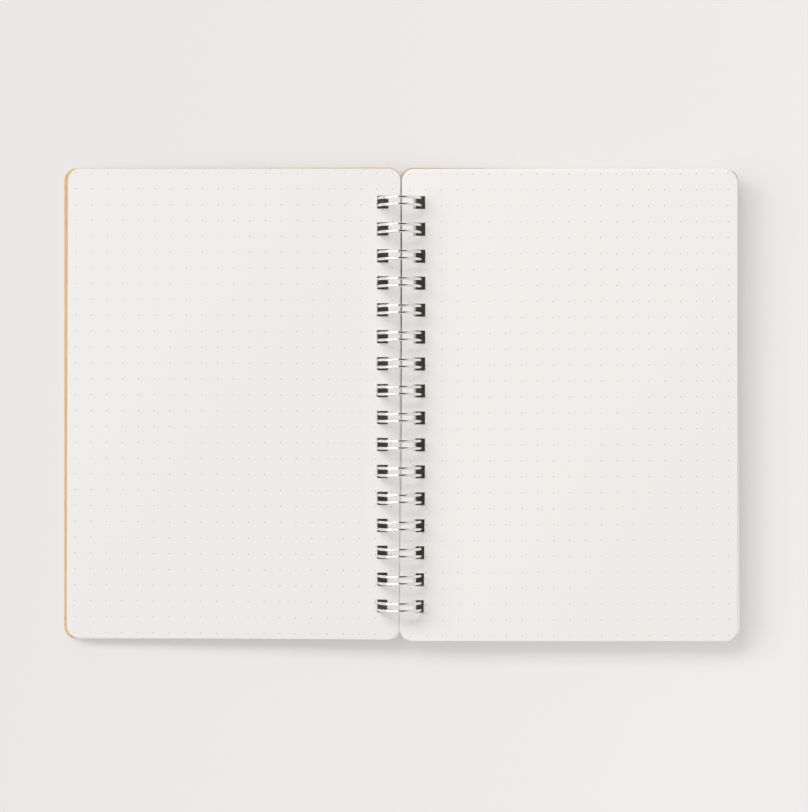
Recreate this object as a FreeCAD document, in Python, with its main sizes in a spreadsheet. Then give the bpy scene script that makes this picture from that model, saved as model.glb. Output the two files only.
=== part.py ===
import FreeCAD, Part
import math
import os
import re

import Sketcher

# An A6 notebook that lies open. Its leaves and covers hang on one twin-loop wire.
# Origin: on the table, under the middle of the wire's axis. +X to the right page, +Y to the head, +Z up.
sizes = {
    # leaves, in portrait
    "leaf_width": 105.0,
    "leaf_height": 148.0,
    "corner_radius": 3.8,
    "front_stack": 2.05,
    "back_stack": 6.6,
    # covers: how far they stand out past the leaves, and how far up they sit on the wire
    "fore_overhang": 1.5,
    "end_overhang": 0.3,
    "cover_thickness": 0.5,
    "cover_rise": 0.25,
    # wire: sixteen pairs of loops
    "loop_count": 16,
    "loop_pitch": 8.467,
    "pair_spacing": 2.2,
    "wire_diameter": 0.9,
    "ring_diameter": 14.0,
    "seam_gap": 0.4,
    "stub_length": 1.0,
    # punched holes, across and along the spine
    "hole_width": 3.8,
    "hole_height": 4.2,
    "hole_margin": 3.75,
    # clearances: wire to paper, cover to leaves, and one half turned onto the other
    "loop_clearance": 0.3,
    "sheet_gap": 0.1,
    "turning_gap": 0.3,
    # the right stack: where its top leaf hangs, how its leaves step out and back, how it lies on the wire
    "top_inset": 0.2,
    "step_out": 0.8,
    "step_depth": 0.6,
    "step_back": 0.35,
    "leaf_drop": 0.4,
    "hole_drop": 0.25,
    "spine_lift": 2.7,
    "bend_length": 46.0,
}

doc = FreeCAD.newDocument("notebook")
sheet = doc.addObject("Spreadsheet::Sheet", "Sizes")
for row, (name, size) in enumerate(sizes.items(), start=1):
    sheet.set(f"A{row}", name)
    sheet.set(f"B{row}", str(size))
    sheet.setAlias(f"B{row}", name)
doc.recompute()

# The wire's mean radius, and its axis: the seam's lowest point just meets the table.
ringRadius = "((ring_diameter - wire_diameter) / 2)"
bendRadius = "(pair_spacing / 2)"
axisHeight = f"(sqrt({ringRadius}^2 + {bendRadius}^2) + wire_diameter / 2)"

# The covers' size, and the first of the holes along the spine.
coverWidth = "(leaf_width + fore_overhang)"
coverHeight = "(leaf_height + 2 * end_overhang)"
rowLength = "((loop_count - 1) * loop_pitch)"

# The right half: leaf levels, and the places of the leaves on the wire.
backFloor = "(cover_thickness + sheet_gap)"
backTop = f"({backFloor} + back_stack)"
stepLevel = f"({backTop} - step_depth)"
backEdge = f"({ringRadius} - top_inset - hole_width / 2 - hole_margin)"
footEdge = f"({backEdge} - step_back)"
stepEdge = f"({backEdge} + step_out)"
bendStart = f"({footEdge} + hole_margin + hole_width / 2 + bend_length)"
edgeLift = f"(spine_lift * (({bendStart} - {footEdge}) / bend_length)^2)"

# The left half: its top just clears the right half's top when it is turned over, and its outer edge lies down.
frontEdge = "(hole_width + hole_margin - ring_diameter / 2 - loop_clearance)"
frontTop = f"(2 * {axisHeight} - {backTop} - turning_gap)"
frontLift = f"({frontTop} - front_stack - sheet_gap - cover_thickness)"
frontTilt = f"asin({frontLift} / {coverWidth})"


def onSheet(formula):
    # a formula that other objects can read: each size is looked up in the sheet
    return re.sub(r"\b(" + "|".join(sizes) + r")\b", r"Sizes.\1", formula)


def valueOf(formula):
    result = sheet.evalExpression(onSheet(formula))
    return float(getattr(result, "Value", result))


def bind(thing, path, formula):
    thing.setExpression(path, onSheet(formula))


def newBody(label):
    body = doc.addObject("PartDesign::Body", label)
    body.Label = label
    return body


def originPart(body, role):
    return next(part for part in body.Origin.OriginFeatures if part.Role == role)


def newSketch(body, name, role):
    sketch = body.newObject("Sketcher::SketchObject", name)
    sketch.AttachmentSupport = [(originPart(body, role), "")]
    sketch.MapMode = "FlatFace"
    return sketch


def place(sketch, geometry, end, across, up):
    # puts one point of the sketch at the two formulas; a plain 0 puts it on the axis
    fix(sketch, "DistanceX", -2, geometry, end, across)
    fix(sketch, "DistanceY", -1, geometry, end, up)


def fix(sketch, kind, axis, geometry, end, formula):
    if formula == "0":
        sketch.addConstraint(Sketcher.Constraint("PointOnObject", geometry, end, axis))
        return
    number = sketch.addConstraint(Sketcher.Constraint(kind, -1, 1, geometry, end, valueOf(formula)))
    bind(sketch, f"Constraints[{number}]", formula)


def outline(sketch, corners, arcs=()):
    # a closed outline through the corners; arcs maps a side's number to its centre's formulas
    points = [FreeCAD.Vector(valueOf(x), valueOf(y), 0) for x, y in corners]
    arcs = dict(arcs)
    ends = {}
    for side, start in enumerate(points):
        stop = points[(side + 1) % len(points)]
        if side in arcs:
            centre = FreeCAD.Vector(valueOf(arcs[side][0]), valueOf(arcs[side][1]), 0)
            curve, ends[side] = roundSide(centre, start, stop)
        else:
            curve, ends[side] = Part.LineSegment(start, stop), (1, 2)
        sketch.addGeometry(curve)
    for side in range(len(points)):
        after = (side + 1) % len(points)
        sketch.addConstraint(
            Sketcher.Constraint("Coincident", side, ends[side][1], after, ends[after][0])
        )
        place(sketch, side, ends[side][0], *corners[side])
    for side, centre in arcs.items():
        fix(sketch, "DistanceX", -2, side, 3, centre[0])


def roundSide(centre, start, stop):
    # the shorter arc about the centre, and which of its ends comes first along the outline
    fromAngle = math.atan2(start.y - centre.y, start.x - centre.x)
    toAngle = math.atan2(stop.y - centre.y, stop.x - centre.x)
    circle = Part.Circle(centre, FreeCAD.Vector(0, 0, 1), (start - centre).Length)
    if (toAngle - fromAngle) % (2 * math.pi) < math.pi:
        return Part.ArcOfCircle(circle, fromAngle, toAngle), (1, 2)
    return Part.ArcOfCircle(circle, toAngle, fromAngle), (2, 1)


def pad(body, sketch, length):
    solid = body.newObject("PartDesign::Pad", "Sheets")
    solid.Profile = sketch
    bind(solid, "Length", length)
    doc.recompute()


def trim(body, name, corners, arcs):
    # takes off what lies inside this outline, seen from the foot
    before = body.Shape.Volume
    sketch = newSketch(body, name, "XZ_Plane")
    outline(sketch, corners, arcs)
    cut = body.newObject("PartDesign::Pocket", name + "Cut")
    cut.Profile = sketch
    cut.Midplane = True
    cut.Type = "ThroughAll"
    doc.recompute()
    if body.Shape.Volume >= before:
        raise RuntimeError(body.Label + ": the trim cut nothing")


def roundedOutline(sketch, left, right, low, high):
    # a sheet's outline with its four round corners
    x1, x2, y1, y2 = valueOf(left), valueOf(right), valueOf(low), valueOf(high)
    r = valueOf("corner_radius")
    points = [(x1 + r, y1), (x2 - r, y1), (x2, y1 + r), (x2, y2 - r)]
    points += [(x2 - r, y2), (x1 + r, y2), (x1, y2 - r), (x1, y1 + r)]
    points = [FreeCAD.Vector(x, y, 0) for x, y in points]
    middles = [(x2 - r, y1 + r), (x2 - r, y2 - r), (x1 + r, y2 - r), (x1 + r, y1 + r)]
    for side, (x, y) in enumerate(middles):
        sketch.addGeometry(Part.LineSegment(points[2 * side], points[2 * side + 1]))
        circle = Part.Circle(FreeCAD.Vector(x, y, 0), FreeCAD.Vector(0, 0, 1), r)
        turn = (side - 1) * math.pi / 2
        sketch.addGeometry(Part.ArcOfCircle(circle, turn, turn + math.pi / 2))
    for piece in range(8):
        sketch.addConstraint(Sketcher.Constraint("Tangent", piece, 2, (piece + 1) % 8, 1))
    for piece, way in ((0, "Horizontal"), (2, "Vertical"), (4, "Horizontal"), (6, "Vertical")):
        sketch.addConstraint(Sketcher.Constraint(way, piece))
    for piece in (3, 5, 7):
        sketch.addConstraint(Sketcher.Constraint("Equal", 1, piece))
    number = sketch.addConstraint(Sketcher.Constraint("Radius", 1, r))
    bind(sketch, f"Constraints[{number}]", "corner_radius")
    fixed = (("DistanceX", 6, -2, left), ("DistanceX", 2, -2, right))
    fixed += (("DistanceY", 0, -1, low), ("DistanceY", 4, -1, high))
    for kind, piece, axis, formula in fixed:
        fix(sketch, kind, axis, piece, 1, formula)


def punch(body, sketch, through=None):
    # one hole cut through the sheets, and its row along the spine
    before = body.Shape.Volume
    hole = body.newObject("PartDesign::Pocket", "Hole")
    hole.Profile = sketch
    hole.Midplane = True
    if through is None:
        hole.Type = "ThroughAll"
    else:
        bind(hole, "Length", through)
    doc.recompute()
    if body.Shape.Volume >= before:
        raise RuntimeError(body.Label + ": the first hole cut nothing")
    row = body.newObject("PartDesign::LinearPattern", "HoleRow")
    row.Originals = [hole]
    row.Direction = (originPart(body, "Y_Axis"), [""])
    bind(row, "Length", rowLength)
    bind(row, "Occurrences", "loop_count")
    body.Tip = row
    doc.recompute()


def flatSheets(label, width, height, rise, foot, thickness):
    # flat sheets left of the wire, in the slope of the left half; the spine edge is at X = 0, and the foot is
    # the height of the lowest sheet over the slope, or None on it
    body = newBody(label)
    sketch = newSketch(body, "Outline", "XY_Plane")
    roundedOutline(sketch, f"-{width}", "0", f"{rise} - {height} / 2", f"{rise} + {height} / 2")
    if foot:
        bind(sketch, "AttachmentOffset.Base.z", foot)
    pad(body, sketch, thickness)
    holes = newSketch(body, "Holes", "XY_Plane")
    near = "-hole_margin"
    far = "-(hole_margin + hole_width)"
    bottom = f"-({rowLength} + hole_height) / 2"
    top = f"-({rowLength} - hole_height) / 2"
    outline(holes, [(near, bottom), (near, top), (far, top), (far, bottom)])
    punch(body, holes)
    body.Placement.Rotation = FreeCAD.Rotation(FreeCAD.Vector(0, -1, 0), valueOf(frontTilt))
    bind(body, ".Placement.Base.x", frontEdge)
    bind(body, ".Placement.Base.z", frontLift)
    bind(body, ".Placement.Rotation.Angle", frontTilt)
    return body


def frontCover():
    return flatSheets("front_cover", coverWidth, coverHeight, "cover_rise", None, "cover_thickness")


def frontPages():
    return flatSheets("front_pages", "leaf_width", "leaf_height", "0", backFloor, "front_stack")


def bendUp(level, side):
    # the arc that lifts a sheet's face from this level to the wire: where it ends past the sheet's spine
    # edge, and the side of the outline that follows it, with its centre
    run = f"({bendStart} - {footEdge} + corner_radius)"
    rise = f"(spine_lift * ({run} / bend_length)^2)"
    end = (f"{footEdge} - corner_radius", f"{level} + {rise}")
    return end, {side: (bendStart, f"{level} + ({run}^2 + {rise}^2) / (2 * {rise})")}


def backCover():
    # flat on the table, then a gentle bend up to the wire
    body = newBody("back_cover")
    sketch = newSketch(body, "Outline", "XY_Plane")
    outer = f"{footEdge} + {coverWidth}"
    half = f"{coverHeight} / 2"
    roundedOutline(sketch, footEdge, outer, f"cover_rise - {half}", f"cover_rise + {half}")
    pad(body, sketch, f"{edgeLift} + cover_thickness + spine_lift")
    beyond = f"{outer} + corner_radius"
    end, bend = bendUp("cover_thickness", 4)
    ceiling = f"{end[1]} + spine_lift"
    start = (bendStart, "cover_thickness")
    corners = [start, (beyond, "cover_thickness"), (beyond, ceiling), (end[0], ceiling), end]
    trim(body, "Above", corners, bend)
    end, bend = bendUp("0", 2)
    trim(body, "Below", [(bendStart, "0"), (end[0], "0"), end], bend)
    holes = newSketch(body, "Holes", "XY_Plane")
    near = f"{footEdge} + hole_margin"
    far = f"{footEdge} + hole_margin + hole_width"
    bottom = f"-({rowLength} + hole_height) / 2"
    top = f"-({rowLength} - hole_height) / 2"
    outline(holes, [(near, bottom), (far, bottom), (far, top), (near, top)])
    punch(body, holes)
    return body


def backPages():
    # The leaves lie level on top. Below they step out by a little, then back along the wire, and the lowest
    # follow the cover's bend.
    body = newBody("back_pages")
    hang = f"({backFloor} + spine_lift)"
    sections = []
    for number, (level, edge) in enumerate(
        [(backFloor, footEdge), (hang, footEdge), (stepLevel, stepEdge), (backTop, backEdge)]
    ):
        sketch = newSketch(body, f"Leaf{number}", "XY_Plane")
        low = "-leaf_drop - leaf_height / 2"
        high = "-leaf_drop + leaf_height / 2"
        roundedOutline(sketch, edge, f"{edge} + leaf_width", low, high)
        bind(sketch, "AttachmentOffset.Base.z", level)
        sections.append(sketch)
    doc.recompute()
    loft = body.newObject("PartDesign::AdditiveLoft", "Sheets")
    loft.Profile = sections[0]
    loft.Sections = sections[1:]
    loft.Ruled = True
    doc.recompute()
    end, bend = bendUp(backFloor, 3)
    floor = f"{backFloor} - cover_thickness"
    trim(body, "Below", [(bendStart, backFloor), (bendStart, floor), (end[0], floor), end], bend)
    holes = newSketch(body, "Holes", "XZ_Plane")
    below = f"{hang} - back_stack"
    above = f"{backTop} + back_stack"
    near = "hole_margin"
    far = "hole_margin + hole_width"
    outline(
        holes,
        [
            (f"{footEdge} + {near}", below),
            (f"{footEdge} + {far}", below),
            (f"{footEdge} + {far}", hang),
            (f"{stepEdge} + {far}", stepLevel),
            (f"{backEdge} + {far}", backTop),
            (f"{backEdge} + {far}", above),
            (f"{backEdge} + {near}", above),
            (f"{backEdge} + {near}", backTop),
            (f"{stepEdge} + {near}", stepLevel),
            (f"{footEdge} + {near}", hang),
        ],
    )
    bind(holes, "AttachmentOffset.Base.z", f"{rowLength} / 2 + hole_drop")
    punch(body, holes, "hole_height")
    return body


def turned(angle, along, y):
    # a point on the wire's cylinder, moved along the tangent there
    radius = valueOf(ringRadius)
    return FreeCAD.Vector(
        radius * math.cos(angle) - along * math.sin(angle),
        y,
        valueOf(axisHeight) + radius * math.sin(angle) + along * math.cos(angle),
    )


def arc(start, middle, stop):
    return Part.Arc(start, middle, stop).toShape()


def line(start, stop):
    return Part.LineSegment(start, stop).toShape()


def wirePath():
    # Each pair of loops is two legs round the ring that meet in a half circle. Quarter circles lead from the
    # legs into the straight back of the wire. All bends lie flat on the ring, so every joint is smooth.
    radius = valueOf(ringRadius)
    bend = valueOf(bendRadius)
    pitch = valueOf("loop_pitch")
    count = int(valueOf("loop_count"))
    root = -math.pi / 2 + math.atan2(bend, radius)
    tip = 1.5 * math.pi - valueOf("seam_gap") / radius - math.atan2(bend, radius)
    slack = bend * math.sin(math.pi / 4)
    edges = []
    last = turned(root, -bend, -(count - 1) / 2 * pitch - 2 * bend - valueOf("stub_length"))
    for loop in range(count):
        middle = (loop - (count - 1) / 2) * pitch
        for side in (-1, 1):
            y = middle + side * bend
            back = turned(root, -bend, y + side * bend)
            corner = turned(root, -slack, y + side * (bend - slack))
            foot = turned(root, 0, y)
            top = turned((root + tip) / 2, 0, y)
            head = turned(tip, 0, y)
            if side < 0:
                edges.append(line(last, back))
                edges.append(arc(back, corner, foot))
                edges.append(arc(foot, top, head))
                first = head
            else:
                edges.append(arc(first, turned(tip, bend, middle), head))
                edges.append(arc(head, top, foot))
                edges.append(arc(foot, corner, back))
                last = back
    edges.append(line(last, last + FreeCAD.Vector(0, valueOf("stub_length"), 0)))
    return Part.Wire(edges)


def wireBinding():
    path = doc.addObject("Part::Feature", "WirePath")
    path.Shape = wirePath()
    section = doc.addObject("Part::Circle", "WireSection")
    bind(section, "Radius", "wire_diameter / 2")
    section.Placement = FreeCAD.Placement(
        path.Shape.Edges[0].Vertexes[0].Point, FreeCAD.Rotation(FreeCAD.Vector(1, 0, 0), -90)
    )
    sweep = doc.addObject("Part::Sweep", "wire_binding")
    sweep.Label = "wire_binding"
    sweep.Sections = [section]
    sweep.Spine = (path, [f"Edge{number}" for number in range(1, len(path.Shape.Edges) + 1)])
    sweep.Solid = True
    doc.recompute()
    return sweep


parts = [wireBinding(), frontCover(), frontPages(), backPages(), backCover()]
doc.recompute()

for thing in doc.Objects:
    if "Invalid" in thing.State or "Error" in thing.State:
        raise RuntimeError(thing.Label + " failed: " + str(thing.State))
os.makedirs("parts", exist_ok=True)
for part in parts:
    if part.Shape.isNull() or not part.Shape.isValid():
        raise RuntimeError(part.Label + " has no valid shape")
    part.Shape.exportStep(os.path.join("parts", part.Label + ".step"))
    print(part.Label, round(part.Shape.Volume, 3), part.Shape.BoundBox)
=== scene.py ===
import math

import bpy
import numpy as np
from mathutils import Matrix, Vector


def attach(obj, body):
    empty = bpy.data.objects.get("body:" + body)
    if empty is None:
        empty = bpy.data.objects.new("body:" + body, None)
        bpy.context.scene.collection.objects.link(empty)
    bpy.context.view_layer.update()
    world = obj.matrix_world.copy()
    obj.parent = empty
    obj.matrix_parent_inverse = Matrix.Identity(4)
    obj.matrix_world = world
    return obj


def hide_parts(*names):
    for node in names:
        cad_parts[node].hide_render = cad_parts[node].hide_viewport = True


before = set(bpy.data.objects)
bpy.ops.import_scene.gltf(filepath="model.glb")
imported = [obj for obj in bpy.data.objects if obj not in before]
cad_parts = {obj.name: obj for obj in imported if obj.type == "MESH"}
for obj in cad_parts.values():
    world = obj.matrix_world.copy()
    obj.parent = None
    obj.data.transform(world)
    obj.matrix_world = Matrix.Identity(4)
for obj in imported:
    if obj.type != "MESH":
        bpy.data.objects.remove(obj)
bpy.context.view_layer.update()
print("solids loaded:", sorted(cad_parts))

mm = 0.001
scene = bpy.context.scene

# what all the pieces share, in millimetres; the same sizes as the solids have
notebook = {
    "leafWidth": 105.0,
    "leafHeight": 148.0,
    "cornerRadius": 3.8,
    "cornerSteps": 8,
    "coverWidth": 106.5,
    "coverHeight": 148.6,
    "coverThickness": 0.5,
    "coverRise": 0.25,  # how far the cards lie towards the head
    "loopCount": 16,
    "loopPitch": 8.467,
    "holeMargin": 3.75,
    "holeWidth": 3.8,
    "holeHeight": 4.2,
    "axisHeight": 7.0917,
    "lip": 0.4,  # between the rows of points at a leaf's head and foot
    "endRows": 3,
    "rimReach": (40.0, 60.0),  # from a leaf's middle, along and up; past it lies the rim
    "smoothAngle": 35.0,  # degrees
}


def holeRows(shift=0.0):
    # the middles of the sixteen holes, evenly spaced about the shift
    count = notebook["loopCount"]
    return (np.arange(count) - (count - 1) / 2) * notebook["loopPitch"] + shift


def meshObject(name, points, faces, body, material, replaced, smoothAngle=notebook["smoothAngle"]):
    # points in millimetres; faces as a list of arrays, each with three or four columns
    mesh = bpy.data.meshes.new(name)
    loops = np.concatenate([block.ravel() for block in faces]).astype(np.int32)
    counts = np.concatenate([np.full(len(block), block.shape[1]) for block in faces]).astype(np.int32)
    starts = np.concatenate([[0], np.cumsum(counts)[:-1]]).astype(np.int32)
    mesh.vertices.add(len(points))
    mesh.vertices.foreach_set("co", (np.asarray(points) * mm).astype(np.float32).ravel())
    mesh.loops.add(len(loops))
    mesh.loops.foreach_set("vertex_index", loops)
    mesh.polygons.add(len(counts))
    mesh.polygons.foreach_set("loop_start", starts)
    mesh.polygons.foreach_set("loop_total", counts)
    mesh.update(calc_edges=True)
    mesh.validate()
    mesh.polygons.foreach_set("use_smooth", np.ones(len(mesh.polygons), dtype=bool))
    mesh.set_sharp_from_angle(angle=math.radians(smoothAngle))
    mesh.materials.append(material)
    piece = bpy.data.objects.new(name, mesh)
    scene.collection.objects.link(piece)
    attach(piece, body)
    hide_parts(replaced)
    print(name, "has", sum(len(block) * (block.shape[1] - 2) for block in faces), "triangles")


def leafGrid(width, height, rows, holeNear, moreColumns=()):
    # A leaf as a grid of columns from the spine edge (0) to the fore edge (width). Near both edges a
    # column's half height follows a circle of the corner's radius: half the leaf's height less the
    # radius, plus the root of the radius squared less the square of the way into the corner. Rows run
    # along both sides of each hole, and at the leaf's head and foot there are three, a lip apart. More
    # columns are given where the leaf bends. The third number of each point is 1 at the head, else 0.
    radius = notebook["cornerRadius"]
    ends = notebook["endRows"]
    turn = np.linspace(0, math.pi / 2, notebook["cornerSteps"] + 1)
    near = radius * (1 - np.cos(turn))
    holeFar = holeNear + notebook["holeWidth"]
    xs = np.concatenate([near, [holeNear, holeFar], moreColumns, width - near])
    xs = np.unique(np.round(xs, 5))  # rounded, so that equal columns become one
    xs = xs[(xs <= holeNear) | (xs >= holeFar)]
    reach = np.clip(np.minimum(xs, width - xs), 0, radius)
    half = height / 2 - radius + np.sqrt(radius ** 2 - (radius - reach) ** 2)
    edges = np.sort(np.concatenate([rows - notebook["holeHeight"] / 2, rows + notebook["holeHeight"] / 2]))
    grid = np.zeros((len(xs), len(edges) + 2 * ends, 3))
    grid[:, :, 0] = xs[:, None]
    grid[:, ends:-ends, 1] = edges[None, :]
    for inset in range(ends):
        grid[:, inset, 1] = inset * notebook["lip"] - half
        grid[:, -1 - inset, 1] = half - inset * notebook["lip"]
    grid[:, -1, 2] = 1
    column = int(np.argmin(abs(xs - holeNear)))
    return grid, column


def leafFaces(grid, column):
    # all cells of the grid but the holes, and the loops of points round the leaf and round each hole
    nx, ny = grid.shape[:2]
    ends = notebook["endRows"]
    number = np.arange(nx * ny).reshape(nx, ny)
    cells = np.stack([number[:-1, :-1], number[1:, :-1], number[1:, 1:], number[:-1, 1:]], axis=-1)
    keep = np.ones((nx - 1, ny - 1), dtype=bool)
    keep[column, ends : ny - ends - 1 : 2] = False
    rim = np.concatenate([number[:, 0], number[-1, 1:], number[-2::-1, -1], number[0, -2:0:-1]])
    holes = []
    for row in range(ends, ny - ends - 1, 2):
        near, far = number[column, row : row + 2], number[column + 1, row : row + 2]
        holes.append(np.concatenate([near, far[::-1]]))
    return cells[keep], [rim, *holes]


def wallFaces(first, length, levels):
    # the strips of cells between rings of points; each ring lies on the one before it and is closed
    ring = np.arange(length)
    low = first + ring[None, :] + length * np.arange(levels - 1)[:, None]
    following = first + np.roll(ring, -1)[None, :] + length * np.arange(levels - 1)[:, None]
    return np.stack([low, following, following + length, low + length], axis=-1).reshape(-1, 4)


def sheetStack(grid, column, levels, place):
    # A pile of sheets as one closed surface: the grid lies on top and, mirrored, below. Its rim and its
    # holes run down the levels. place(points, level) gives the place of the grid's points at that level.
    flat = grid.reshape(-1, 3)
    cells, loops = leafFaces(grid, column)
    points = [place(flat, levels[-1]), place(flat, levels[0])]
    faces = [cells, cells[:, ::-1] + len(flat)]
    first = 2 * len(flat)
    for loop in loops:
        rings = [place(flat[loop], level) for level in levels[1:-1]]
        points += rings
        count = len(loop)
        faces.append(wallFaces(first, count, len(rings)))
        after = np.roll(np.arange(count), -1)
        low = first + np.arange(count)
        lowBase = loop + len(flat)
        faces.append(np.stack([lowBase, lowBase[after], low[after], low], axis=-1))
        high = low + count * (len(rings) - 1)
        faces.append(np.stack([high, high[after], loop[after], loop], axis=-1))
        first += count * len(rings)
    return np.concatenate(points), faces


def newMaterial(name):
    material = bpy.data.materials.new(name)
    material.use_nodes = True
    nodes = material.node_tree.nodes
    return material, nodes, material.node_tree.links, nodes["Principled BSDF"]


def mathNode(nodes, links, operation, first, second=None, third=None):
    # a number is set on its socket, another node's socket is linked to it
    node = nodes.new("ShaderNodeMath")
    node.operation = operation
    for socket, source in zip(node.inputs, (first, second, third)):
        if source is None:
            continue
        if isinstance(source, (int, float)):
            socket.default_value = source
        else:
            links.new(source, socket)
    return node.outputs[0]


def noiseNode(nodes, links, place, scale, detail, distortion=0.0):
    noise = nodes.new("ShaderNodeTexNoise")
    noise.inputs["Scale"].default_value = scale
    noise.inputs["Detail"].default_value = detail
    noise.inputs["Distortion"].default_value = distortion
    links.new(place, noise.inputs["Vector"])
    return noise.outputs["Fac"]


def colourMix(nodes, links, share, first, second):
    # a colour is set on its socket, another node's socket is linked to it
    mix = nodes.new("ShaderNodeMix")
    mix.data_type = "RGBA"
    links.new(share, mix.inputs["Factor"])
    for socket, source in ((mix.inputs[6], first), (mix.inputs[7], second)):
        if isinstance(source, tuple):
            socket.default_value = (*source, 1)
        else:
            links.new(source, socket)
    return mix.outputs[2]


def addRelief(nodes, links, shader, height, strength, depth):
    # a faint relief from the height, its depth in millimetres
    bump = nodes.new("ShaderNodeBump")
    bump.inputs["Strength"].default_value = strength
    bump.inputs["Distance"].default_value = depth * mm
    links.new(height, bump.inputs["Height"])
    links.new(bump.outputs[0], shader.inputs["Normal"])


# where the dots start, their pitch and sizes are in millimetres, the turn of a print in radians
paperLook = {
    # both halves are the same paper; the back colour is painted lighter, as painted light for the brighter
    # right half
    "frontColour": (0.835, 0.828, 0.803),
    "backColour": (0.9, 0.878, 0.855),
    # painted shade for faces that look sideways: sheet edges, hole walls and the gutter slit
    "edgeShadeColour": (0.64, 0.60, 0.54),
    "faceLevel": 0.9,
    "roughness": 0.85,
    "gloss": 0.2,
    "dotColour": (0.36, 0.355, 0.345),
    "frontDotStart": (-2.505, -72.34),
    "frontDotTurn": -0.0038,
    "backDotStart": (3.287, -72.859),
    "backDotTurn": 0.0021,
    "dotPitch": (4.995, 5.0),
    "dotRadius": 0.14,
    "dotSoftness": 0.03,
    "fibreScale": 900.0,
    "fibreDetail": 4.0,
    "fibreStrength": 0.03,
    "fibreDepth": 0.2,
}


def paperMaterial(name, dotStart, dotTurn, colour):
    # Off-white paper with a dot grid. A dot's tone comes from the distance to the nearest grid point: the
    # root of the two squared distances along the leaf and up it. The start is where a row and a column of
    # dots cross the axes. The print is turned a little: each place is moved by the turn times its place
    # on the other axis. Where a face looks sideways (sheet edges, hole walls, the gutter slit) it gets a
    # painted shade, a darker warm tone in place of the paper's colour.
    look = paperLook
    material, nodes, links, shader = newMaterial(name)
    coords = nodes.new("ShaderNodeTexCoord")
    split = nodes.new("ShaderNodeSeparateXYZ")
    links.new(coords.outputs["Object"], split.inputs[0])
    offsets = []
    for axis, other, start, turn, pitch in (
        ("X", "Y", dotStart[0], dotTurn, look["dotPitch"][0]),
        ("Y", "X", dotStart[1], -dotTurn, look["dotPitch"][1]),
    ):
        turned = mathNode(nodes, links, "MULTIPLY_ADD", split.outputs[other], turn, split.outputs[axis])
        shifted = mathNode(nodes, links, "SUBTRACT", turned, start * mm)
        part = mathNode(nodes, links, "DIVIDE", shifted, pitch * mm)
        nearest = mathNode(nodes, links, "ROUND", part)
        offsets.append(mathNode(nodes, links, "SUBTRACT", part, nearest))
    squares = [mathNode(nodes, links, "MULTIPLY", offset, offset) for offset in offsets]
    distance = mathNode(nodes, links, "SQRT", mathNode(nodes, links, "ADD", *squares))
    inside = nodes.new("ShaderNodeMapRange")
    inside.interpolation_type = "SMOOTHSTEP"
    radius, softness, pitch = look["dotRadius"], look["dotSoftness"], look["dotPitch"][1]
    inside.inputs["From Min"].default_value = (radius + softness) / pitch
    inside.inputs["From Max"].default_value = (radius - softness) / pitch
    links.new(distance, inside.inputs["Value"])
    facing = nodes.new("ShaderNodeSeparateXYZ")
    links.new(coords.outputs["Normal"], facing.inputs[0])
    level = mathNode(nodes, links, "ABSOLUTE", facing.outputs["Z"])
    onFace = mathNode(nodes, links, "GREATER_THAN", level, look["faceLevel"])
    fibres = noiseNode(nodes, links, coords.outputs["Object"], look["fibreScale"], look["fibreDetail"])
    # sideways faces take the painted shade, top and under faces the paper's own colour
    sheets = colourMix(nodes, links, onFace, look["edgeShadeColour"], colour)
    dots = mathNode(nodes, links, "MULTIPLY", inside.outputs[0], onFace)
    links.new(colourMix(nodes, links, dots, sheets, look["dotColour"]), shader.inputs["Base Color"])
    addRelief(nodes, links, shader, fibres, look["fibreStrength"], look["fibreDepth"])
    shader.inputs["Roughness"].default_value = look["roughness"]
    shader.inputs["Specular IOR Level"].default_value = look["gloss"]
    return material


cardLook = {
    "colour": (0.63, 0.395, 0.185),
    "paleColour": (0.73, 0.50, 0.275),
    "darkColour": (0.44, 0.255, 0.11),
    "roughness": 0.8,
    "gloss": 0.2,
    "cloudScale": 120.0,
    "cloudDetail": 6.0,
    "fibres": [("darkColour", 1400.0, 0.62, 0.72), ("paleColour", 1900.0, 0.64, 0.74)],
    "fibreDetail": 2.0,
    "fibreDistortion": 1.5,
    "fibreShare": 0.55,
    "reliefStrength": 0.15,
    "reliefDepth": 0.1,
}


def cardMaterial():
    # Brown kraft card: a cloudy tone, with short darker and paler fibres that lie in all directions. A
    # fibre's tone comes in as its noise rises from the first to the second of the levels after its scale.
    look = cardLook
    material, nodes, links, shader = newMaterial("kraftCard")
    place = nodes.new("ShaderNodeTexCoord").outputs["Object"]
    clouds = noiseNode(nodes, links, place, look["cloudScale"], look["cloudDetail"])
    tone = colourMix(nodes, links, clouds, look["colour"], look["paleColour"])
    for colour, scale, low, high in look["fibres"]:
        fibres = noiseNode(nodes, links, place, scale, look["fibreDetail"], look["fibreDistortion"])
        picked = nodes.new("ShaderNodeMapRange")
        picked.inputs["From Min"].default_value = low
        picked.inputs["From Max"].default_value = high
        picked.inputs["To Max"].default_value = look["fibreShare"]
        links.new(fibres, picked.inputs["Value"])
        tone = colourMix(nodes, links, picked.outputs[0], tone, look[colour])
    links.new(tone, shader.inputs["Base Color"])
    addRelief(nodes, links, shader, clouds, look["reliefStrength"], look["reliefDepth"])
    shader.inputs["Roughness"].default_value = look["roughness"]
    shader.inputs["Specular IOR Level"].default_value = look["gloss"]
    return material


wireLook = {
    "colour": (0.9, 0.9, 0.905),
    "roughness": (0.12, 0.15),
    "markScale": 700.0,
    "markDetail": 3.0,
}


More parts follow.
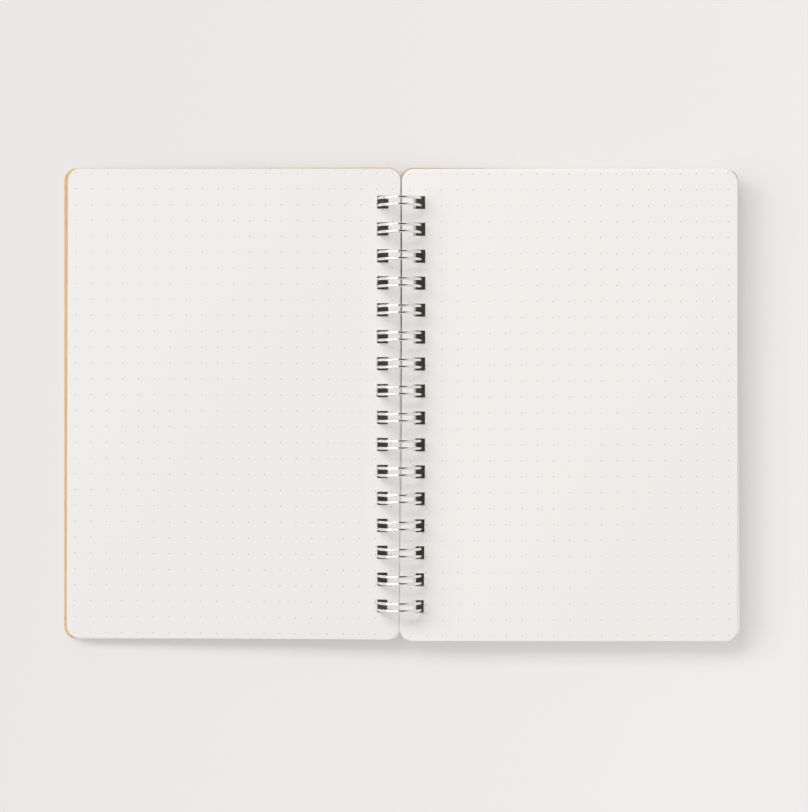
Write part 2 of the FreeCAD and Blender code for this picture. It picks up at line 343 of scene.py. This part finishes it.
def wireMaterial():
    # bright nickel-plated steel, with faint drawing marks in its gloss
    material, nodes, links, shader = newMaterial("bindingWire")
    place = nodes.new("ShaderNodeTexCoord").outputs["Object"]
    marks = noiseNode(nodes, links, place, wireLook["markScale"], wireLook["markDetail"])
    gloss = nodes.new("ShaderNodeMapRange")
    gloss.inputs["To Min"].default_value = wireLook["roughness"][0]
    gloss.inputs["To Max"].default_value = wireLook["roughness"][1]
    links.new(marks, gloss.inputs["Value"])
    links.new(gloss.outputs[0], shader.inputs["Roughness"])
    shader.inputs["Base Color"].default_value = (*wireLook["colour"], 1)
    shader.inputs["Metallic"].default_value = 1.0
    return material


kraftCard = cardMaterial()
print("card finish made")

# how a sheet's edge fills its step of the stack: paper, then a narrow shadow line, as shares of the step
sheetEdge = {
    "paper": 0.8,
    "lineStart": 0.84,
    "lineEnd": 0.96,
    "lineDepth": 0.12,
}


def sheetLevels(count, floor, thickness):
    # the levels of a stack's rim from its foot to its top: (height, sheet, how far in)
    step = thickness / count
    levels = [(floor, 0, 0.0)]
    for number in range(count - 1):
        low = floor + number * step
        levels.append((low + sheetEdge["paper"] * step, number, 0.0))
        levels.append((low + sheetEdge["lineStart"] * step, number, sheetEdge["lineDepth"]))
        levels.append((low + sheetEdge["lineEnd"] * step, number + 1, sheetEdge["lineDepth"]))
        levels.append((low + step, number + 1, 0.0))
    levels.append((floor + (count - 1 + sheetEdge["paper"]) * step, count - 1, 0.0))
    levels.append((floor + thickness, count - 1, 0.0))
    return levels


def drawnIn(points, width, depth):
    # points of a rim, moved towards the leaf's middle by the depth, along each axis on which they lie
    # past the reach
    away = points[:, :2] - np.array([width / 2, 0])
    return points[:, :2] - depth * np.sign(away) * (abs(away) > np.array(notebook["rimReach"]))


# the left half slopes down from the wire to the left: where its card starts, along and up, and its slope
leftHalf = {
    "edge": 0.25,
    "lift": 4.03345,
    "tiltDegrees": 2.1704,
}


def inLeftHalf(along, up, height):
    # From the half's own way along, way up and height to the notebook: to the left by the way times the
    # slope's cosine and the height times its sine, and down by the way times the sine less the height
    # times the cosine.
    tilt = math.radians(leftHalf["tiltDegrees"])
    x = leftHalf["edge"] - along * math.cos(tilt) - height * math.sin(tilt)
    z = leftHalf["lift"] - along * math.sin(tilt) + height * math.cos(tilt)
    return np.stack([x, up, z], axis=-1)


# edges: from which sheet on, counted from the foot, the spine edge lies where along the notebook
frontStack = {
    "sheets": 20,
    "floor": 0.6,
    "thickness": 2.05,
    "holeMargin": 3.6,
    "edges": {0: 0.25, 8: 0.41, 19: 0.08},
    "topTurn": 0.0031,
    "jitter": 0.012,
    "seed": 11,
}


def buildFrontLeaves():
    # The sheets' spine edges step in and out from the foot of the stack to its top, and the top sheet is
    # turned a little on the wire: it moves by the turn times its place on the other axis.
    stack = frontStack
    random = np.random.default_rng(stack["seed"])
    count = stack["sheets"]
    turns = np.zeros(count)
    turns[-1] = stack["topTurn"]
    starts = sorted(stack["edges"])
    edges = np.array([stack["edges"][start] for start in starts])
    shifts = random.normal(0, stack["jitter"], (count, 2))
    shifts[-1] = 0
    shifts[:, 0] += leftHalf["edge"] - edges[np.searchsorted(starts, np.arange(count), side="right") - 1]
    width = notebook["leafWidth"]
    grid, column = leafGrid(width, notebook["leafHeight"], holeRows(), stack["holeMargin"])

    def place(points, level):
        height, sheet, depth = level
        moved = drawnIn(points, width, depth) + shifts[sheet]
        along = moved[:, 0] - turns[sheet] * moved[:, 1]
        return inLeftHalf(along, moved[:, 1] + turns[sheet] * moved[:, 0], height)

    points, faces = sheetStack(grid, column, sheetLevels(count, stack["floor"], stack["thickness"]), place)
    faces = [block[:, ::-1] for block in faces]  # turned back, because the grid runs to the left here
    look = paperLook
    paper = paperMaterial("frontPaper", look["frontDotStart"], look["frontDotTurn"], look["frontColour"])
    meshObject("frontLeaves", points, faces, "front_leaves", paper, "front_pages")


buildFrontLeaves()

# the cards' edges are a little rounded, on both faces alike: (height, how far in)
cardEdge = [(0.0, 0.08), (0.03, 0.03), (0.08, 0.0)]
cardLevels = cardEdge + [(notebook["coverThickness"] - height, depth) for height, depth in cardEdge[::-1]]


def buildFrontCard():
    width, rise = notebook["coverWidth"], notebook["coverRise"]
    grid, column = leafGrid(width, notebook["coverHeight"], holeRows(-rise), notebook["holeMargin"])

    def place(points, level):
        moved = drawnIn(points, width, level[1])
        return inLeftHalf(moved[:, 0], moved[:, 1] + rise, level[0])

    points, faces = sheetStack(grid, column, cardLevels, place)
    faces = [block[:, ::-1] for block in faces]  # turned back as the front leaves' faces are
    meshObject("frontCard", points, faces, "front_cover", kraftCard, "front_cover")


buildFrontCard()

# the right half lies flat and rises towards the wire from where its bend starts
rightHalf = {
    "footEdge": 0.35,
    "bendStart": 52.0,
    "bendLength": 46.0,
    "bendEnd": 8.5,
    "bendColumns": 14,
    "spineLift": 2.7,
}
bendColumns = np.linspace(rightHalf["bendEnd"], rightHalf["bendStart"], rightHalf["bendColumns"])


def bendRise(x):
    # the rise of the lowest sheet over the table: the way past the bend's start over the bend's length,
    # squared, times the lift
    way = np.clip(rightHalf["bendStart"] - x, 0, None)
    return rightHalf["spineLift"] * (way / rightHalf["bendLength"]) ** 2


# edges are shifts along the notebook at the wire, fore edges the same at the far side; turns in radians
backStack = {
    "sheets": 66,
    "floor": 0.6,
    "top": 7.2,
    "leafWidth": 105.3,
    "leafHeight": 148.25,
    "leafDrop": 0.265,
    "holeDrop": 0.14,
    "holeMargin": 3.55,
    "headDroop": 0.22,
    "stepLevels": [0.6, 2.2, 4.2, 7.0],
    "stepEdges": [0.85, 0.9, 1.45, 0.95],
    "foreEdge": 0.8,
    "topEdge": 0.72,
    "topTurn": 0.001,
    "slippedEdges": [0.76, 0.57],
    "slippedTurns": [-0.0109, -0.0032],
    "standingOut": 9,
    "standingOutEdge": 0.95,
    "standingOutTurn": 0.0055,
    "jitter": 0.06,
    "jitterLimit": 0.08,
    "upperJitter": 0.3,
    "seed": 5,
}


def buildBackLeaves():
    # At the wire the sheets' edges step with the height, at the fore edge they lie even. Under the top
    # sheet two have slipped askew at the wire, but never past the top sheet's edge. Nine more sheets
    # below these are turned so that they stand out at the lower right corner, and the slipped ones lie
    # with them there. From the wire to the fore edge a sheet's shift goes evenly from the one edge to the
    # other, and a turned sheet rises by half its turn times its way from the wire.
    stack = backStack
    random = np.random.default_rng(stack["seed"])
    count = stack["sheets"]
    floor, thickness = stack["floor"], stack["top"] - stack["floor"]
    slipped = count - 1 - len(stack["slippedEdges"])
    standing = slipped - stack["standingOut"]
    heights = floor + (np.arange(count) + 0.5) / count * thickness
    edges = np.interp(heights, stack["stepLevels"], stack["stepEdges"])
    edges[slipped:-1] = stack["slippedEdges"]
    edges[-1] = stack["topEdge"]
    turns = np.zeros(count)
    turns[standing:slipped] = stack["standingOutTurn"]
    turns[slipped:-1] = stack["slippedTurns"]
    turns[-1] = stack["topTurn"]
    foreEdges = np.full(count, stack["foreEdge"])
    foreEdges[standing:-1] = stack["standingOutEdge"]
    foreEdges[-1] = stack["topEdge"]
    foreTurns = np.zeros(count)
    foreTurns[standing:-1] = stack["standingOutTurn"]
    limit = stack["jitterLimit"]
    jitter = np.clip(random.normal(0, stack["jitter"], (count, 2)), -limit, limit)
    jitter[standing:] *= stack["upperJitter"]
    jitter[-1] = 0
    width = stack["leafWidth"]
    rows = holeRows(stack["leafDrop"] - stack["holeDrop"])
    grid, column = leafGrid(width, stack["leafHeight"], rows, stack["holeMargin"], bendColumns)

    def place(points, level):
        height, sheet, depth = level
        moved = drawnIn(points, width, depth)
        far = moved[:, 0] / width
        near = edges[sheet] - turns[sheet] * moved[:, 1]
        if slipped <= sheet < count - 1:
            near = np.minimum(near, stack["topEdge"])
        fore = foreEdges[sheet] - foreTurns[sheet] * moved[:, 1]
        x = moved[:, 0] + near * (1 - far) + fore * far + jitter[sheet, 0]
        y = moved[:, 1] - stack["leafDrop"] + abs(jitter[sheet, 1]) + foreTurns[sheet] / 2 * moved[:, 0]
        share = (height - floor) / thickness
        z = height + bendRise(x) * (1 - share) - stack["headDroop"] * share * points[:, 2]
        return np.stack([x, y, z], axis=-1)

    points, faces = sheetStack(grid, column, sheetLevels(count, floor, thickness), place)
    look = paperLook
    # the back paper's colour holds painted light: it is lighter than the front's
    paper = paperMaterial("backPaper", look["backDotStart"], look["backDotTurn"], look["backColour"])
    meshObject("backLeaves", points, faces, "back_leaves", paper, "back_pages")


buildBackLeaves()


def buildBackCard():
    width, rise = notebook["coverWidth"], notebook["coverRise"]
    rows = holeRows(-rise)
    grid, column = leafGrid(width, notebook["coverHeight"], rows, notebook["holeMargin"], bendColumns)

    def place(points, level):
        moved = drawnIn(points, width, level[1])
        x = rightHalf["footEdge"] + moved[:, 0]
        return np.stack([x, moved[:, 1] + rise, bendRise(x) + level[0]], axis=-1)

    points, faces = sheetStack(grid, column, cardLevels, place)
    meshObject("backCard", points, faces, "back_cover", kraftCard, "back_cover")


buildBackCard()

wire = {
    "ringRadius": 6.55,
    "pairSpacing": 2.2,
    "thickness": 0.9,
    "seamGap": 0.4,
    "stubLength": 1.0,
    "legSteps": 84,
    "bendSteps": 7,
    "sides": 14,
    "smoothAngle": 60.0,
}


def wirePoints():
    # The wire's middle line. A leg is a turn round the ring; the tips and the corners are half and
    # quarter circles in the plane that touches the ring there. Each point keeps its angle on the ring,
    # which gives the direction away from the axis.
    radius = wire["ringRadius"]
    bend = wire["pairSpacing"] / 2
    root = -math.pi / 2 + math.atan2(bend, radius)
    tip = 1.5 * math.pi - wire["seamGap"] / radius - math.atan2(bend, radius)
    turn = np.linspace(0, math.pi / 2, wire["bendSteps"] + 1)
    legs = np.linspace(root, tip, wire["legSteps"] + 1)
    tips = np.linspace(0, math.pi, 2 * wire["bendSteps"] + 1)
    angles, alongs, ys = [], [], []

    def add(angle, along, y):
        angles.append(np.broadcast_to(angle, np.shape(along)))
        alongs.append(along)
        ys.append(y)

    rows = holeRows()
    start = rows[0] - 2 * bend - wire["stubLength"]
    add(root, np.array([-bend]), np.array([start]))
    for middle in rows:
        low, high = middle - bend, middle + bend
        add(root, -bend * np.cos(turn), low - bend + bend * np.sin(turn))
        add(legs[1:-1], np.zeros(len(legs) - 2), np.full(len(legs) - 2, low))
        add(tip, bend * np.sin(tips), middle - bend * np.cos(tips))
        add(legs[-2:0:-1], np.zeros(len(legs) - 2), np.full(len(legs) - 2, high))
        add(root, -bend * np.sin(turn), high + bend - bend * np.cos(turn))
    add(root, np.array([-bend]), np.array([rows[-1] + 2 * bend + wire["stubLength"]]))
    angle, along, y = np.concatenate(angles), np.concatenate(alongs), np.concatenate(ys)
    out = np.stack([np.cos(angle), np.zeros(len(angle)), np.sin(angle)], axis=-1)
    forward = np.stack([-np.sin(angle), np.zeros(len(angle)), np.cos(angle)], axis=-1)
    line = radius * out + along[:, None] * forward
    line[:, 1] = y
    line[:, 2] += notebook["axisHeight"]
    return line, out


def buildWire():
    # A round tube along the line: at each point a circle across the way the wire runs.
    line, out = wirePoints()
    way = np.gradient(line, axis=0)
    way /= np.linalg.norm(way, axis=1)[:, None]
    across = np.cross(way, out)
    across /= np.linalg.norm(across, axis=1)[:, None]
    upward = np.cross(across, way)
    sides = wire["sides"]
    turn = (np.arange(sides) * 2 * math.pi / sides)[None, :, None]
    circle = np.cos(turn) * upward[:, None, :] + np.sin(turn) * across[:, None, :]
    tube = (line[:, None, :] + wire["thickness"] / 2 * circle).reshape(-1, 3)
    points = np.concatenate([tube, line[:1], line[-1:]])
    ring = np.arange(sides)
    after = np.roll(ring, -1)
    last = len(tube) - sides
    faces = [
        wallFaces(0, sides, len(line)),
        np.stack([after, ring, np.full(sides, len(tube))], axis=-1),
        np.stack([last + ring, last + after, np.full(sides, len(tube) + 1)], axis=-1),
    ]
    steel, angle = wireMaterial(), wire["smoothAngle"]
    meshObject("twinLoopWire", points, faces, "wire", steel, "wire_binding", angle)


buildWire()

# tableSize and coverReach in millimetres, the lamps' and the wall's places in metres, powers in watts
studio = {
    "tableSize": 12000.0,
    "tableColour": (0.50, 0.496, 0.488),
    "tableRoughness": 0.9,
    "tableSheen": 0.1,
    "tableGlow": 0.345,
    "glowRise": (0.32, -0.15),
    "glowSpan": 0.05,
    "coverReach": 15.0,
    "coverSamples": 8,
    "openShares": (0.2, 0.45),
    "windowMiddle": (-3.6, 2.6, 3.0),
    "windowSize": (6.2, 2.3),
    "windowPower": 252.0,
    "sideMiddle": (-2.6, 0.3, 1.6),
    "sideSize": (3.0, 1.6),
    "sidePower": 33.0,
    "skyStrength": 0.45,
    "glossStrength": 0.74,
    "skyColour": (1.0, 0.99, 0.975),
    "dimColour": (0.01, 0.01, 0.01),
    "dimCorners": [(-0.15, -0.6, 2.4), (0.75, -0.6, 2.4), (0.75, 1.5, 0.05), (-0.15, 1.5, 0.05)],
}


def areaLamp(name, size, power, place, target):
    lamp = bpy.data.lights.new(name, "AREA")
    lamp.shape = "RECTANGLE"
    lamp.size, lamp.size_y = size
    lamp.energy = power
    holder = bpy.data.objects.new(name, lamp)
    holder.location = place
    holder.rotation_mode = "QUATERNION"
    holder.rotation_quaternion = (Vector(place) - Vector(target)).to_track_quat("Z", "Y")
    scene.collection.objects.link(holder)
    return holder


def flatSheet(name, corners, material):
    mesh = bpy.data.meshes.new(name)
    mesh.from_pydata(corners, [], [(0, 1, 2, 3)])
    mesh.materials.append(material)
    sheet = bpy.data.objects.new(name, mesh)
    scene.collection.objects.link(sheet)
    return sheet


def tableMaterial():
    # A pale table that glows softly, so that shadows on it stay light. Where something lies over it, it
    # doesn't glow: the share of open air above each place, looked for to a short distance, gives that.
    # The glow rises to the right and to the front.
    material, nodes, links, shader = newMaterial("paleTable")
    coords = nodes.new("ShaderNodeTexCoord")
    split = nodes.new("ShaderNodeSeparateXYZ")
    links.new(coords.outputs["Object"], split.inputs[0])
    openAir = nodes.new("ShaderNodeAmbientOcclusion")
    openAir.samples = studio["coverSamples"]
    openAir.inputs["Distance"].default_value = studio["coverReach"] * mm
    fade = nodes.new("ShaderNodeMapRange")
    fade.inputs["From Min"].default_value = studio["openShares"][0]
    fade.inputs["From Max"].default_value = studio["openShares"][1]
    links.new(openAir.outputs["AO"], fade.inputs["Value"])
    rising = mathNode(nodes, links, "MULTIPLY", split.outputs["X"], studio["glowRise"][0])
    rising = mathNode(nodes, links, "MULTIPLY_ADD", split.outputs["Y"], studio["glowRise"][1], rising)
    level = nodes.new("ShaderNodeMapRange")
    span, middle = studio["glowSpan"], studio["tableGlow"]
    level.inputs["From Min"].default_value = -span
    level.inputs["From Max"].default_value = span
    level.inputs["To Min"].default_value = middle - span
    level.inputs["To Max"].default_value = middle + span
    links.new(rising, level.inputs["Value"])
    glow = mathNode(nodes, links, "MULTIPLY", fade.outputs[0], level.outputs[0])
    links.new(glow, shader.inputs["Emission Strength"])
    shader.inputs["Emission Color"].default_value = (*studio["skyColour"], 1)
    shader.inputs["Base Color"].default_value = (*studio["tableColour"], 1)
    shader.inputs["Roughness"].default_value = studio["tableRoughness"]
    shader.inputs["Specular IOR Level"].default_value = studio["tableSheen"]
    return material


def buildSky():
    # what the wire mirrors of the room is brighter than the light that the room gives
    world = bpy.data.worlds.new("paleRoom")
    world.use_nodes = True
    nodes, links = world.node_tree.nodes, world.node_tree.links
    sky = nodes["Background"]
    sky.inputs["Color"].default_value = (*studio["skyColour"], 1)
    extra = studio["glossStrength"] - studio["skyStrength"]
    gloss = nodes.new("ShaderNodeLightPath").outputs["Is Glossy Ray"]
    strength = mathNode(nodes, links, "MULTIPLY_ADD", gloss, extra, studio["skyStrength"])
    links.new(strength, sky.inputs["Strength"])
    scene.world = world


def buildDimWall():
    # a dim sloping wall past the head of the page, seen only in the wire's gloss
    material, *_, shader = newMaterial("dimWall")
    shader.inputs["Base Color"].default_value = (*studio["dimColour"], 1)
    shader.inputs["Roughness"].default_value = 1.0
    shader.inputs["Specular IOR Level"].default_value = 0.0
    wall = flatSheet("dimWall", studio["dimCorners"], material)
    wall.visible_camera = False
    wall.visible_diffuse = False
    wall.visible_shadow = False
    return wall


def buildStudio():
    far = studio["tableSize"] * mm
    corners = [(-far, -far, 0), (far, -far, 0), (far, far, 0), (-far, far, 0)]
    table = flatSheet("table", corners, tableMaterial())
    middle = studio["windowMiddle"]
    below = (middle[0], middle[1], 0)
    window = areaLamp("softWindow", studio["windowSize"], studio["windowPower"], middle, below)
    side = areaLamp("softSide", studio["sideSize"], studio["sidePower"], studio["sideMiddle"], (0, 0, 0))
    dim = buildDimWall()
    buildSky()
    print("table and light set")


buildStudio()

# in millimetres, apart from clipStart; the camera looks straight down
camera = {
    "place": (1.32, -0.585, 857.0),
    "lens": 120.0,
    "sensor": 36.0,
    "clipStart": 0.01,  # metres
}


def buildCamera():
    lens = bpy.data.cameras.new("overhead")
    lens.lens = camera["lens"]
    lens.sensor_width = camera["sensor"]
    lens.clip_start = camera["clipStart"]
    overhead = bpy.data.objects.new("overhead", lens)
    overhead.location = Vector(camera["place"]) * mm
    scene.collection.objects.link(overhead)
    scene.camera = overhead
    scene.view_settings.view_transform = "Standard"
    print("camera set")


buildCamera()
